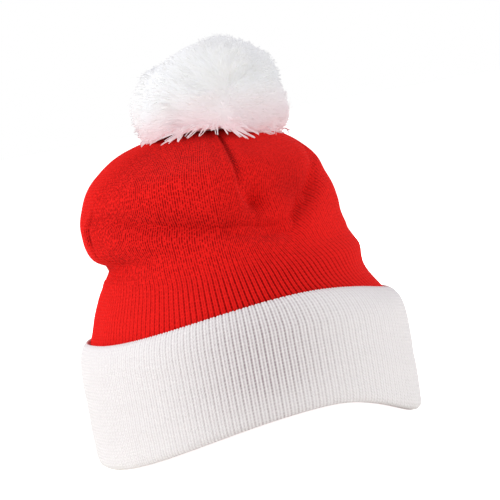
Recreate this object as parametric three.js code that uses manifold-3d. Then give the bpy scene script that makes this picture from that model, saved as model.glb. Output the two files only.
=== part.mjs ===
// Knitted winter beanie: a slouching ribbed crown, a turned-up ribbed cuff and a yarn pompom.
// Millimetres, +Z up, the front along -Y. The origin is on the surface that the rim stands on,
// under the middle of the cuff. An azimuth is in degrees from the front towards +X.
import * as THREE from "three";
import { mergeVertices } from "three/addons/utils/BufferGeometryUtils.js";
import Module from "manifold-3d";

const wasm = await Module();
wasm.setup();

// Driving dimensions
const KNIT = 3.6; // thickness of one knitted layer
const RIBS = 168; // ribs round the tube, the same ones in crown and cuff
const RIB_RISE = 0.55; // a rib's crest above the mean surface, and its groove below it
const RIB_STRETCH = 0.24; // share by which the ribs are wider where the knit is stretched most
const STRETCH_AZIMUTH = 66;
const CUFF_OUTLINE = { left: 103.5, right: 103.5, front: 95, back: 95 };
const CUFF_HEIGHT = 76.5;
const CUFF_STAND = 0.8; // clearance between the turned-up layer and the crown behind it
const FOLD_SLOT = 0.9; // clearance between the two layers of the fold
const JOIN_HEIGHT = 58; // the crown is knitted onto the cuff's inner layer here, behind the cuff
const SEAT_GAP = 0.3; // clearance where two pieces meet
// The rim lifts off the surface here. At the cuff's top edge the lift is lower and runs further.
const ARCH = { azimuth: 24, foot: { rise: 22, left: 92, right: 61 }, top: { rise: 14, left: 88, right: 75 } };
const PLAIN_COLUMNS = 76; // facets round a smooth section
const LINING_COLUMNS = 38; // facets round the inside of the crown

// The cuff's section, round one knitted band folded at the foot. Inset is inwards from the cuff's
// outline, height is above the foot, and hug is how far a point follows the crown behind it.
const CUFF_PROFILE = [
  { inset: 6.0, height: 0, hug: 0, rib: 0 },
  { inset: 3.0, height: 0, hug: 0, rib: 0 },
  { inset: 0.9, height: 5, hug: 0, rib: 1 },
  { inset: 0.0, height: 58, hug: 0, rib: 1 },
  { inset: 0.3 * KNIT, height: 72, hug: 0.7, rib: 0.8 },
  { inset: 0.6 * KNIT, height: CUFF_HEIGHT, hug: 0.9, rib: 0 },
  { inset: KNIT, height: 73.5, hug: 0.9, rib: 0 },
  { inset: KNIT, height: 61, hug: 0, rib: 0 },
  { inset: KNIT, height: 12, hug: 0, rib: 0 },
  { inset: KNIT + FOLD_SLOT, height: 12, hug: 0, rib: 0 },
];
// The band's inner layer, from its top edge at the join down to the foot.
const INNER_LAYER = [
  { inset: KNIT + FOLD_SLOT, join: true },
  { inset: 2 * KNIT + FOLD_SLOT, join: true },
  { inset: 2 * KNIT + FOLD_SLOT, height: 5, join: false },
];

// The crown's sections: the outside of the knit left, right, in front and behind the axis, and
// how strongly the ribs stand out there.
const CROWN_SECTIONS = [
  { height: JOIN_HEIGHT + SEAT_GAP, left: 99, right: 99, front: 90.5, back: 90.5, rib: 0 },
  { height: 72, left: 95.4, right: 95.5, front: 89.5, back: 89, rib: 1 },
  { height: 92, left: 88.5, right: 83, front: 86.5, back: 86, rib: 1 },
  { height: 106, left: 82.8, right: 82, front: 81.5, back: 82, rib: 0.4 },
  { height: 112, left: 82.4, right: 79.8, front: 78.5, back: 80, rib: 0 },
  { height: 118, left: 83, right: 76.6, front: 76.5, back: 79, rib: 0 },
  { height: 123, left: 85, right: 75.5, front: 75.5, back: 78.5, rib: 0 },
  { height: 130, left: 86, right: 74, front: 75.5, back: 78, rib: 0 },
  { height: 138, left: 87.3, right: 73.6, front: 76, back: 78, rib: 0 },
  { height: 147, left: 87.9, right: 72.4, front: 76, back: 77.5, rib: 0 },
  { height: 156, left: 86, right: 69.9, front: 74.5, back: 76, rib: 0 },
  { height: 165, left: 82.6, right: 66.6, front: 70.5, back: 72, rib: 0 },
  { height: 174, left: 75.8, right: 60.4, front: 63.5, back: 65, rib: 0 },
  { height: 182, left: 65.6, right: 51.3, front: 53, back: 54, rib: 0 },
  { height: 188.5, left: 53.5, right: 39.4, front: 40, back: 41, rib: 0 },
  { height: 192.5, left: 37, right: 25, front: 25, back: 26, rib: 0 },
  { height: 194.5, left: 14, right: 10, front: 9, back: 9, rib: 0 },
];

// Folds that run round the crown: where each starts, passes and ends, how deep it is, and how far
// it spreads below and above its line.
const CROWN_FOLDS = [
  { from: -165, via: -90, to: -6, heights: [126, 118.5, 128], depth: 10, below: 8, above: 5 },
  { from: -86, via: 31, to: 84, heights: [164.5, 128.5, 178], depth: 4, below: 7, above: 6 },
];
// Dents pressed into the slack knit.
const CROWN_DENTS = [
  { azimuth: 22, height: 148, depth: 6.5, halfAngle: 10, halfHeight: 13 },
  { azimuth: 50, height: 157, depth: 4.5, halfAngle: 15, halfHeight: 15 },
];
// Darts sewn into the crown: each fades in from its foot and runs full to the apex.
const DARTS = { count: 3, azimuth: 13, foot: 152, full: 169, depth: 2, halfAngle: 3.6 };

// The pompom: cut yarn tied at the middle, in locks that reach the ball's outline.
const POMPOM = { x: 5, y: 0, z: 207, halfWidth: 49, halfDepth: 47, halfHeight: 44 };
const SEAT_FROM_ROW = 4; // the crown's rows from here up can meet the pompom
const POMPOM_CORE = 0.82; // the packed heart of the ball, as a share of its reach
const CORE_RINGS = 8;
const CORE_COLUMNS = 16;
const POMPOM_LOCKS = 56;
const LOCK = { sides: 5, rootShare: 0.5, shoulderShare: 0.86, rootRadius: 10, tipRadius: 5 };
// Tufts that stand out of the ball, and partings that sink into it.
const POMPOM_TUFTS = [
  { azimuth: 85, elevation: 78, spread: 20, rise: 2.5 },
  { azimuth: -85, elevation: 30, spread: 16, rise: 2 },
  { azimuth: -85, elevation: 66, spread: 20, rise: -6 },
  { azimuth: 88, elevation: -16, spread: 22, rise: 2 },
  { azimuth: 20, elevation: 12, spread: 16, rise: -4 },
];

const KNIT_RED = 0xd9181b;
const KNIT_WHITE = 0xf1eff0;
const YARN_WHITE = 0xf7f5f5;

const SIDES = ["left", "right", "front", "back"];
const TURN = 2 * Math.PI;
const radians = THREE.MathUtils.degToRad;
const mix = THREE.MathUtils.lerp;
const bump = (x) => Math.exp(-x * x);

// The azimuth, in radians, of a place round the tube counted in ribs from 0 to 1. The ribs are
// wider on the stretched side.
function azimuthOf(wale) {
  const even = TURN * wale;
  return even + RIB_STRETCH * Math.sin(even - radians(STRETCH_AZIMUTH));
}

// An azimuth's turn past another one that is given in degrees, from -180 to 180.
function turnFrom(azimuth, toDegrees) {
  const turn = THREE.MathUtils.radToDeg(azimuth) - toDegrees;
  return THREE.MathUtils.euclideanModulo(turn + 180, 360) - 180;
}

// A point of an oval section made of four quarter ellipses.
function onOval(section, azimuth, height) {
  const side = Math.sin(azimuth);
  const ahead = Math.cos(azimuth);
  const x = side * (side > 0 ? section.right : section.left);
  const y = -ahead * (ahead > 0 ? section.front : section.back);
  return new THREE.Vector3(x, y, height);
}

// How far the lift of the rim raises a place at a height above the cuff's foot.
function archRise(azimuth, height) {
  const turn = turnFrom(azimuth, ARCH.azimuth);
  const side = turn < 0 ? "left" : "right";
  const [rise, span] = ["rise", side].map((key) => mix(ARCH.foot[key], ARCH.top[key], height / CUFF_HEIGHT));
  const share = Math.min(Math.abs(turn) / span, 1);
  return (rise * (1 + Math.cos(Math.PI * share))) / 2;
}

// A rib's crest on even columns and its groove on odd ones. A smooth section has fewer columns.
const ribRise = (share, column) => share * (column % 2 === 0 ? RIB_RISE : -RIB_RISE);
const columnsOf = (section) => (section.rib > 0 ? 2 * RIBS : PLAIN_COLUMNS);

// A smooth value through a column of the crown's table, at a row that need not be whole.
function alongCrown(column, row) {
  const last = CROWN_SECTIONS.length - 1;
  const start = Math.min(Math.floor(row), last - 1);
  const at = (i) => CROWN_SECTIONS[THREE.MathUtils.clamp(i, 0, last)][column];
  const [before, low, high, after] = [start - 1, start, start + 1, start + 2].map(at);
  const t = row - start;
  const leaving = (high - before) / 2;
  const arriving = (after - low) / 2;
  const square = 3 * (high - low) - 2 * leaving - arriving;
  const cube = leaving + arriving - 2 * (high - low);
  return low + t * (leaving + t * (square + t * cube));
}

function crownSurface(azimuth, row) {
  const section = {};
  for (const side of SIDES) section[side] = alongCrown(side, row);
  return onOval(section, azimuth, alongCrown("height", row));
}

// The outward direction of the crown's smooth surface.
function crownNormal(azimuth, row) {
  const step = 0.02; // of a turn in radians, and of a row
  const top = CROWN_SECTIONS.length - 1;
  const [low, high] = [Math.max(0, row - step), Math.min(top, row + step)];
  const round = crownSurface(azimuth + step, row).sub(crownSurface(azimuth - step, row));
  const up = crownSurface(azimuth, high).sub(crownSurface(azimuth, low));
  return round.cross(up).normalize();
}

// How far along a fold a place lies: -1 where the fold starts, 0 at its middle and 1 at its end.
function foldShare(fold, degrees) {
  const half = degrees < fold.via ? fold.via - fold.from : fold.to - fold.via;
  return THREE.MathUtils.clamp((degrees - fold.via) / half, -1, 1);
}

// The depth of a fold at an azimuth in degrees and a height.
function foldDepth(fold, degrees, height) {
  const [first, middle, last] = fold.heights;
  const share = foldShare(fold, degrees);
  const line = mix(middle, share < 0 ? first : last, Math.abs(share));
  const rise = height - line;
  const fade = Math.cos((Math.PI / 2) * share) ** 2;
  return fold.depth * fade * bump(rise / (rise < 0 ? fold.below : fold.above));
}

// How far the folds, dents and darts take the knit in, at an azimuth and a height.
function crownDepth(azimuth, height) {
  const degrees = turnFrom(azimuth, 0);
  let depth = 0;
  for (const fold of CROWN_FOLDS) depth += foldDepth(fold, degrees, height);
  for (const dent of CROWN_DENTS) {
    const aside = turnFrom(azimuth, dent.azimuth) / dent.halfAngle;
    depth += dent.depth * bump(Math.hypot(aside, (height - dent.height) / dent.halfHeight));
  }
  const sewn = THREE.MathUtils.smoothstep(height, DARTS.foot, DARTS.full);
  for (let dart = 0; dart < DARTS.count; dart += 1) {
    const aside = turnFrom(azimuth, DARTS.azimuth + (dart * 360) / DARTS.count);
    depth += sewn * DARTS.depth * bump(aside / DARTS.halfAngle);
  }
  return depth;
}

// A point of the crown's knit, raised outwards from its outside or sunk below it.
function crownPoint(azimuth, row, raised) {
  const smooth = crownSurface(azimuth, row);
  const rise = raised - crownDepth(azimuth, smooth.z);
  return smooth.addScaledVector(crownNormal(azimuth, row), rise);
}

// The crown's section at a height, between the rows of its table.
function crownSectionAt(height) {
  const above = CROWN_SECTIONS.findIndex((section) => section.height > height);
  const [low, high] = [CROWN_SECTIONS[above - 1], CROWN_SECTIONS[above]];
  const t = (height - low.height) / (high.height - low.height);
  return Object.fromEntries(SIDES.map((side) => [side, mix(low[side], high[side], t)]));
}

const grown = (section, by) => Object.fromEntries(SIDES.map((side) => [side, section[side] + by]));

// One ring of points, from a function of the azimuth and the column.
function ring(columns, pointAt) {
  return Array.from({ length: columns }, (_, column) => pointAt(azimuthOf(column / columns), column));
}

// A closed solid skinned over rings that run the same way round. Neighbouring rings may have
// different numbers of points. A tube that closes on itself has no ends; any other is capped.
function skin(rings, closed = false) {
  const points = rings.flat();
  const starts = rings.map((_, i) => rings.slice(0, i).reduce((sum, r) => sum + r.length, 0));
  const triangles = [];
  for (let i = 0; i < rings.length - (closed ? 0 : 1); i += 1) {
    const next = (i + 1) % rings.length;
    const [low, high] = [rings[i].length, rings[next].length];
    let [a, b] = [0, 0];
    while (a < low || b < high) {
      const onLow = starts[i] + (a % low);
      const onHigh = starts[next] + (b % high);
      if (b === high || (a < low && (a + 1) * high <= (b + 1) * low)) {
        a += 1;
        triangles.push(onLow, starts[i] + (a % low), onHigh);
      } else {
        b += 1;
        triangles.push(onLow, starts[next] + (b % high), onHigh);
      }
    }
  }
  if (!closed) {
    const cap = (ringIndex, facesBack) => {
      const [start, count] = [starts[ringIndex], rings[ringIndex].length];
      const centre = new THREE.Vector3();
      rings[ringIndex].forEach((point) => centre.addScaledVector(point, 1 / count));
      const hub = points.push(centre) - 1;
      for (let k = 0; k < count; k += 1) {
        const edge = [start + k, start + ((k + 1) % count)];
        triangles.push(hub, ...(facesBack ? edge.reverse() : edge));
      }
    };
    cap(0, true);
    cap(rings.length - 1, false);
  }
  const geometry = new THREE.BufferGeometry().setFromPoints(points);
  return geometry.setIndex(triangles);
}

function asSolid(geometry) {
  const merged = mergeVertices(geometry);
  return new wasm.Manifold(
    new wasm.Mesh({
      numProp: 3,
      vertProperties: merged.attributes.position.array,
      triVerts: new Uint32Array(merged.index.array),
    }),
  );
}

function asGeometry(solid) {
  const { vertProperties, triVerts } = solid.getMesh();
  return new THREE.BufferGeometry()
    .setAttribute("position", new THREE.BufferAttribute(vertProperties, 3))
    .setIndex(new THREE.BufferAttribute(triVerts, 1));
}

// A point of the cuff's outer layer, upright below and lying on the crown towards its top edge.
function cuffPoint(row, azimuth, column) {
  const height = row.height + archRise(azimuth, row.height);
  const relief = ribRise(row.rib, column) - row.inset;
  const upright = onOval(grown(CUFF_OUTLINE, relief), azimuth, height);
  if (row.hug === 0) return upright;
  const lying = grown(crownSectionAt(height), KNIT + CUFF_STAND + relief);
  return upright.lerp(onOval(lying, azimuth, height), row.hug);
}

// The turned-up cuff: one knitted band, folded at the foot.
function cuffGeometry() {
  const outer = CUFF_PROFILE.map((row) =>
    ring(columnsOf(row), (azimuth, column) => cuffPoint(row, azimuth, column)),
  );
  const inner = INNER_LAYER.map((row) =>
    ring(PLAIN_COLUMNS, (azimuth) => {
      const height = row.join ? JOIN_HEIGHT : row.height + archRise(azimuth, row.height);
      return onOval(grown(CUFF_OUTLINE, -row.inset), azimuth, height);
    }),
  );
  return skin([...outer, ...inner], true);
}

// The crown: one knitted wall, open below and drawn together at the apex.
function crownGeometry() {
  const outside = CROWN_SECTIONS.map((section, row) =>
    ring(columnsOf(section), (azimuth, column) => crownPoint(azimuth, row, ribRise(section.rib, column))),
  );
  const [base] = CROWN_SECTIONS;
  const foot = ring(PLAIN_COLUMNS, (azimuth) => onOval(grown(base, -KNIT), azimuth, base.height));
  const lining = CROWN_SECTIONS.map((_, row) =>
    ring(LINING_COLUMNS, (azimuth) => crownPoint(azimuth, row, -KNIT)),
  );
  return skin([...lining.slice(1).reverse(), foot, ...outside]);
}

// The solid that the crown fills from outside, a little larger, which the pompom sits on.
function pompomSeat() {
  const rings = CROWN_SECTIONS.map((_, row) =>
    ring(PLAIN_COLUMNS, (azimuth) => crownPoint(azimuth, row, SEAT_GAP)),
  );
  return asSolid(skin(rings.slice(SEAT_FROM_ROW)));
}

// How far the pompom reaches along a direction from its middle.
function pompomReach(direction) {
  const { halfWidth, halfDepth, halfHeight } = POMPOM;
  const reach = 1 / Math.hypot(direction.x / halfWidth, direction.y / halfDepth, direction.z / halfHeight);
  return POMPOM_TUFTS.reduce((sum, tuft) => {
    const flat = Math.cos(radians(tuft.elevation));
    const axis = new THREE.Vector3(
      flat * Math.sin(radians(tuft.azimuth)),
      -flat * Math.cos(radians(tuft.azimuth)),
      Math.sin(radians(tuft.elevation)),
    );
    const away = THREE.MathUtils.radToDeg(axis.angleTo(direction));
    return sum + tuft.rise * bump(away / tuft.spread);
  }, reach);
}

// One lock of yarn, a blunt tapering prism along a direction from the pompom's middle.
function lockSolid(direction, turn) {
  const reach = pompomReach(direction);
  const lay = new THREE.Quaternion().setFromUnitVectors(new THREE.Vector3(0, 0, 1), direction);
  const stations = [
    { along: LOCK.rootShare * reach, radius: LOCK.rootRadius },
    { along: LOCK.shoulderShare * reach, radius: LOCK.rootRadius },
    { along: reach, radius: LOCK.tipRadius },
  ];
  const rings = stations.map(({ along, radius }) =>
    Array.from({ length: LOCK.sides }, (_, side) => {
      const angle = turn + (TURN * side) / LOCK.sides;
      const corner = new THREE.Vector3(radius * Math.cos(angle), radius * Math.sin(angle), along);
      return corner.applyQuaternion(lay);
    }),
  );
  return asSolid(skin(rings));
}

// A unit direction from a turn about +Z and an upward share from -1 to 1.
function directionOf(turn, up) {
  const flat = Math.sqrt(1 - up * up);
  return new THREE.Vector3(flat * Math.cos(turn), flat * Math.sin(turn), up);
}

// The pompom: a packed core with locks all over it, cut to sit on the crown.
function pompomGeometry() {
  const core = Array.from({ length: CORE_RINGS }, (_, i) =>
    Array.from({ length: CORE_COLUMNS }, (_, column) => {
      const slope = Math.PI * ((i + 0.5) / CORE_RINGS - 0.5);
      const direction = directionOf((TURN * column) / CORE_COLUMNS, Math.sin(slope));
      return direction.multiplyScalar(POMPOM_CORE * pompomReach(direction));
    }),
  );
  const goldenTurn = Math.PI * (3 - Math.sqrt(5));
  let ball = asSolid(skin(core));
  for (let lock = 0; lock < POMPOM_LOCKS; lock += 1) {
    const direction = directionOf(lock * goldenTurn, 1 - (2 * lock + 1) / POMPOM_LOCKS);
    ball = ball.add(lockSolid(direction, lock));
  }
  const seated = ball.translate([POMPOM.x, POMPOM.y, POMPOM.z]).subtract(pompomSeat());
  const largest = seated.decompose().reduce((a, b) => (a.volume() > b.volume() ? a : b));
  return asGeometry(largest);
}

function piece(name, geometry, color, roughness) {
  const material = new THREE.MeshStandardMaterial({ color, roughness, metalness: 0 });
  const mesh = new THREE.Mesh(geometry, material);
  mesh.name = name;
  return mesh;
}

const beanie = new THREE.Group();
beanie.add(piece("crown", crownGeometry(), KNIT_RED, 0.9));
beanie.add(piece("cuff", cuffGeometry(), KNIT_WHITE, 0.9));
beanie.add(piece("pompom", pompomGeometry(), YARN_WHITE, 0.95));

export default beanie;
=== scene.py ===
"""Knitted Christmas beanie: a slouching red rib crown, a white turned-up cuff and a yarn pompom.

Sizes are in millimetres and are turned to metres where a mesh is placed. The front is along -Y,
and an azimuth is in degrees from the front towards +X.
"""

from math import cos, pi, radians, sin

import bpy
import numpy as np
from mathutils import Matrix, Vector


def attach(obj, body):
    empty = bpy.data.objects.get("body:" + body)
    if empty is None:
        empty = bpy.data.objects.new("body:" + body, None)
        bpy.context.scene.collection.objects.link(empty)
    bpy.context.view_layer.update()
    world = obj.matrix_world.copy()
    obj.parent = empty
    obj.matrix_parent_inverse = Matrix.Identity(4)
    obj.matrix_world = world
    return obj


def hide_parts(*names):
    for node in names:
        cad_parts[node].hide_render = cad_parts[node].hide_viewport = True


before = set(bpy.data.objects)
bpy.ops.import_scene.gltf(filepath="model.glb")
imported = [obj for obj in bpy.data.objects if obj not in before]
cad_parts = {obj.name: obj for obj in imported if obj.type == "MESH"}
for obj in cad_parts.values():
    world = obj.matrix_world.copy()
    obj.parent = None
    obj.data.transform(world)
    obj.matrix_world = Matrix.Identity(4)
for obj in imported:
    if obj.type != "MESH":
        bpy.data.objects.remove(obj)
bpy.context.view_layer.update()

MM = 0.001
TINY = 1e-6

# The knit: a rib is a wale of two legs and the groove beside it, and a course is a row of stitches
KNIT = 3.6
RIBS = 168
RIB_COLUMNS = 4
RIB_STRETCH = 0.24
STRETCH_AZIMUTH = 66
RIB_LEGS = 2
COURSE = 2.0
# Where the ribs are pulled open: most in front and behind, and in the crown only low down
CUFF_PULLED = {"azimuth": 5, "spread": 23, "least": 0.15}
CROWN_PULLED = {"azimuth": 18, "spread": 38, "least": 0.3,
                "open_below": 98, "closed_above": 128, "closed": 0.02}
# How far the crown's ribs lean to the left on their way up, on the right side where the slack pulls
RIB_LEAN = {"azimuth": 58, "spread": 48, "turn": 18, "foot": 70, "head": 132}

# The cuff
CUFF_OUTLINE = {"left": 103.5, "right": 103.5, "front": 95, "back": 95}
CUFF_STAND = 0.8
JOIN_HEIGHT = 58
# The lift of the rim in front: how far it rises, and over how many degrees to the left and right
ARCH = {
    "azimuth": 24,
    "foot": {"rise": 22, "left": 92, "right": 61},
    "top": {"rise": 14, "left": 88, "right": 75},
}
CUFF_HEIGHT = 76.5
CUFF_RIB = 0.26
CUFF_RIB_CLOSED = 0.2
CUFF_LEG = 0.2
CUFF_WAVES = {"height": 0.25, "count": 7}
# The ribs end in small scallops along the top edge
SCALLOP = {"height": 0.35, "above": 72.5}
# The cuff's ribs are pulled open less towards its foot and its top edge
CUFF_OPEN = {"foot": 0.5, "from": 4, "to": 34, "top": 0.75, "above": 56}

# The cuff's section, from the foot up the outside, over the top edge and down the slot behind it.
# Inset is inwards from the outline, hug is how far a point follows the crown, rib how strongly
# the ribs stand out, and rows how many rows of the mesh lie between this point and the next.
CUFF_PROFILE = (
    {"inset": 4.6, "height": 0, "hug": 0, "rib": 0.2, "rows": 2},
    {"inset": 3.0, "height": 0.1, "hug": 0, "rib": 0.6, "rows": 2},
    {"inset": 1.4, "height": 1.6, "hug": 0, "rib": 1, "rows": 2},
    {"inset": 0.6, "height": 5, "hug": 0, "rib": 1, "rows": 8},
    {"inset": 0.0, "height": 22, "hug": 0, "rib": 1, "rows": 18},
    {"inset": 0.0, "height": 56, "hug": 0, "rib": 1, "rows": 8},
    {"inset": 0.3, "height": 70, "hug": 0.6, "rib": 1, "rows": 3},
    {"inset": 0.8, "height": 74.5, "hug": 0.8, "rib": 1, "rows": 2},
    {"inset": 1.8, "height": 76.5, "hug": 0.9, "rib": 0.8, "rows": 2},
    {"inset": 3.0, "height": 76.1, "hug": 0.9, "rib": 0.4, "rows": 2},
    {"inset": 3.6, "height": 73.5, "hug": 0.9, "rib": 0, "rows": 2},
    {"inset": 3.6, "height": 61, "hug": 0, "rib": 0, "rows": 3},
    {"inset": 3.6, "height": 12, "hug": 0, "rib": 0, "rows": 1},
    {"inset": 4.5, "height": 12, "hug": 0, "rib": 0, "rows": 2},
)
# The band's inner layer, from its top edge at the join down to the foot
INNER_PROFILE = (
    {"inset": 4.5, "join": 1, "height": 0, "rib": 0, "rows": 1},
    {"inset": 8.1, "join": 1, "height": 0, "rib": 0, "rows": 12},
    {"inset": 8.1, "join": 0, "height": 6, "rib": -0.8, "rows": 2},
    {"inset": 7.2, "join": 0, "height": 1.6, "rib": -0.8, "rows": 2},
    {"inset": 6.2, "join": 0, "height": 0, "rib": -0.2, "rows": 2},
)

# The crown's sections: the outside of the knit left, right, in front of and behind the axis
CROWN_SECTIONS = (
    {"height": 58.3, "left": 99, "right": 99, "front": 90.5, "back": 90.5},
    {"height": 72, "left": 95.4, "right": 95, "front": 89.5, "back": 89},
    {"height": 92, "left": 88.5, "right": 83, "front": 86.5, "back": 86},
    {"height": 106, "left": 83.3, "right": 82.1, "front": 81.5, "back": 82},
    {"height": 112, "left": 83.6, "right": 79.8, "front": 78.5, "back": 80},
    {"height": 118, "left": 84.8, "right": 76.6, "front": 76.5, "back": 79},
    {"height": 123, "left": 85.6, "right": 75.5, "front": 75.5, "back": 78.5},
    {"height": 130, "left": 86.6, "right": 74, "front": 75.5, "back": 78},
    {"height": 138, "left": 87.7, "right": 73.6, "front": 76, "back": 78},
    {"height": 147, "left": 87.6, "right": 72, "front": 76, "back": 77.5},
    {"height": 156, "left": 85.4, "right": 68.6, "front": 74.5, "back": 76},
    {"height": 165, "left": 81.8, "right": 65.4, "front": 70.5, "back": 72},
    {"height": 174, "left": 75.2, "right": 58.8, "front": 63.5, "back": 65},
    {"height": 182, "left": 65, "right": 49, "front": 53, "back": 54},
    {"height": 188.5, "left": 53, "right": 38, "front": 40, "back": 41},
    {"height": 192.5, "left": 37, "right": 25, "front": 25, "back": 26},
    {"height": 194.5, "left": 14, "right": 10, "front": 9, "back": 9},
)
SIDES = ("left", "right", "front", "back")
CROWN_TOP = len(CROWN_SECTIONS) - 1
# The crown only narrows from this section up
TURN_OF_THE_TOP = 8
FINE_STEPS = 800
# The knit is slack and uneven above, but less so on the stretched side and towards the cuff
# The slack share also sets how much painted shade shows in the dashes between the legs
SLACK = {"azimuth": 55, "spread": 42, "least": 0.35, "low": 0.3, "foot": 96, "head": 130}
# Painted shade: spots where the knit is drawn darker, across the front, in the hollow at the
# right and beside the small pleat at the left
PAINTED_SHADE_SPOTS = (
    {"azimuth": -30, "height": 145, "half_angle": 40, "half_height": 17, "share": 0.08},
    {"azimuth": 47, "height": 155, "half_angle": 17, "half_height": 14, "share": 0.32},
    {"azimuth": -68, "height": 142, "half_angle": 1.4, "half_height": 10, "share": 0.4},
)
CROWN_ROWS = 124
LINING_ROWS = 14
CROWN_RIB = 0.5
CROWN_LEG = 0.16
CROWN_WAVES = {"height": 0.3, "count": 9}
# The crown's relief starts behind the cuff between two heights, and ends at the apex between two radii
CROWN_RELIEF = {"heights": (60, 74), "radii": (4, 40), "lining": 0.4}
APEX_X = 2

# Folds that run round the crown: where each starts, passes and ends, how deep it is, how far it
# spreads below and above its line, and how much painted shade darkens the knit down in its crease
CROWN_FOLDS = (
    {"from": -165, "via": -90, "to": -6, "heights": (126, 118.5, 128),
     "depth": 11, "below": 8, "above": 4.5, "fade": 1.6, "crease_shade": 0.16},
    {"from": -86, "via": 31, "to": 84, "heights": (164.5, 128.5, 178),
     "depth": 9, "below": 6, "above": 6, "fade": 0.8, "crease_shade": 0.14},
)
FOLD_BEND = 0.1
FOLD_ROUND = 0.3
# Dents pressed into the slack knit, a swelling beside them, and a small pleat with its groove
CROWN_DENTS = (
    {"azimuth": 22, "height": 148, "depth": 7.5, "half_angle": 10, "half_height": 13},
    {"azimuth": 20, "height": 150, "depth": 6.5, "half_angle": 6, "half_height": 9},
    {"azimuth": 46, "height": 150, "depth": 7, "half_angle": 17, "half_height": 14},
    {"azimuth": -16, "height": 167, "depth": -3.0, "half_angle": 26, "half_height": 7},
    {"azimuth": -71, "height": 144, "depth": -1.4, "half_angle": 2, "half_height": 10},
    {"azimuth": -67.5, "height": 142, "depth": 1.2, "half_angle": 1.5, "half_height": 9},
)
# Seams that draw the crown together. Each fades in from its foot, where it leans aside, and runs
# full to the apex: the knit drops on its right side, and stands up in a ridge on its left.
SEAMS = {"count": 3, "azimuth": 12.5, "lean": 8, "foot": 136, "full": 160}
SEAM_DROP = {"depth": 2.2, "right": 6, "left": 1.3}
SEAM_RIDGE = {"rise": 0.5, "turn": -2.5, "spread": 2.0}
# Painted shade: the dark slanting ticks along each seam, by their turn and spread, fading in between two
# heights
SEAM_TICKS = {"turn": 1.5, "spread": 1.6, "foot": 156, "full": 176}

# The pompom: cut yarn tied at the middle, parted in front and behind
POMPOM_CENTRE = np.array((5.0, 0.0, 207.0))
POMPOM_HALF = np.array((49.0, 47.0, 44.0))
POMPOM_TUFTS = (
    {"azimuth": 88, "elevation": 72, "spread": 16, "rise": 2.5},
    {"azimuth": 88, "elevation": 38, "spread": 12, "rise": 1},
    {"azimuth": 88, "elevation": -18, "spread": 14, "rise": 3},
    {"azimuth": -85, "elevation": 26, "spread": 16, "rise": 1},
    {"azimuth": -88, "elevation": 74, "spread": 20, "rise": -9},
    {"azimuth": -88, "elevation": 52, "spread": 19, "rise": -6},
    {"azimuth": -88, "elevation": -14, "spread": 16, "rise": -1.5},
    {"azimuth": 20, "elevation": 12, "spread": 16, "rise": -4},
)
PARTING = {"top": 218, "top_x": 15, "foot": 191, "foot_x": 10}
LOBES = (
    {"name": "pompom_front_left", "from": -84, "to": 11, "seed": 5},
    {"name": "pompom_front_right", "from": 11, "to": 98, "seed": 7},
    {"name": "pompom_back_right", "from": 98, "to": 187, "seed": 11},
    {"name": "pompom_back_left", "from": 187, "to": 276, "seed": 13},
)
LOBE_YARNS = 1850
YARN_FIBRES = 4
FIBRE_RADIUS = 0.32
STRAND_SIDES = 3
STRAND_FLATNESS = 0.3
# Each strand's stations from root to tip, its taper, and how its sweep and its rise grow along it
STRAND_SHARES = np.array((0, 0.5, 1.0))
STRAND_TAPER = np.array((1, 1, 0.6))
SWEEP_GROWTH = 1.2
RISE_GROWTH = 0.7
YARN_SCATTER = {"sweep": 0.05, "length": 0.01}
FIBRE_SCATTER = {"sweep": 0.025, "length": 0.015, "place": 0.25, "tip": 0.5, "thickness": (0.8, 1.15)}
LOWEST_YARN = radians(-42)
ROOT_SHARE = 0.955
HEART_SHARE = 0.972
HEART_DETAIL = 6
# How far the heart's colour lies from the painted root shade towards the tip colour
HEART_TIP = 0.5
# The middle rests on the crown out to one radius, and is clear of it from another
HEART_FOOT = {"rests": 18, "clear": 38, "gap": 0.3, "lift": 1}
# The yarn gathers in tufts, each longer or shorter than its neighbours and swept its own way
TUFTS = {"count": 110, "seed": 3, "narrow": 90, "rise": 0.085, "range": (-1, 0.5), "sway": 0.13}
COMBED = {"lean": 24, "near": 6, "far": 46, "ease_from": 0.5, "rim_ease": 0.35}
FLYAWAYS = {"share": 0.16, "sweep": 0.25, "length": 0.055}
# The lowest that the yarn ends hang, from left to right
POMPOM_BASE = (
    {"x": -50, "height": 190},
    {"x": -36, "height": 191.5},
    {"x": -28, "height": 193.5},
    {"x": -21, "height": 195},
    {"x": -4, "height": 194.6},
    {"x": 9, "height": 193.5},
    {"x": 18, "height": 191.5},
    {"x": 28, "height": 187.5},
    {"x": 52, "height": 182},
)
# Painted red glow: a pink tint standing in for the crown's red light in the yarn, up to this far above
# the base, from left to right
PAINTED_RED_GLOW = {"x": (-40, 50), "height": (17, 36), "fade": 1.3}
# Short yarn ends that hang all along the base in front, swept away from the parting
FRINGE = {"seed": 17, "count": 44, "left": -36, "right": 50, "low": 0.5, "high": 5,
          "drop": 2.5, "least_drop": 0.3, "sweep": 6, "out": 1.6}
STRAY_SCATTER = {"ends": 0.4, "bow": 0.5}
STRAY_TAPER = (1, 1.1, 1.1, 1, 0.8)
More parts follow.
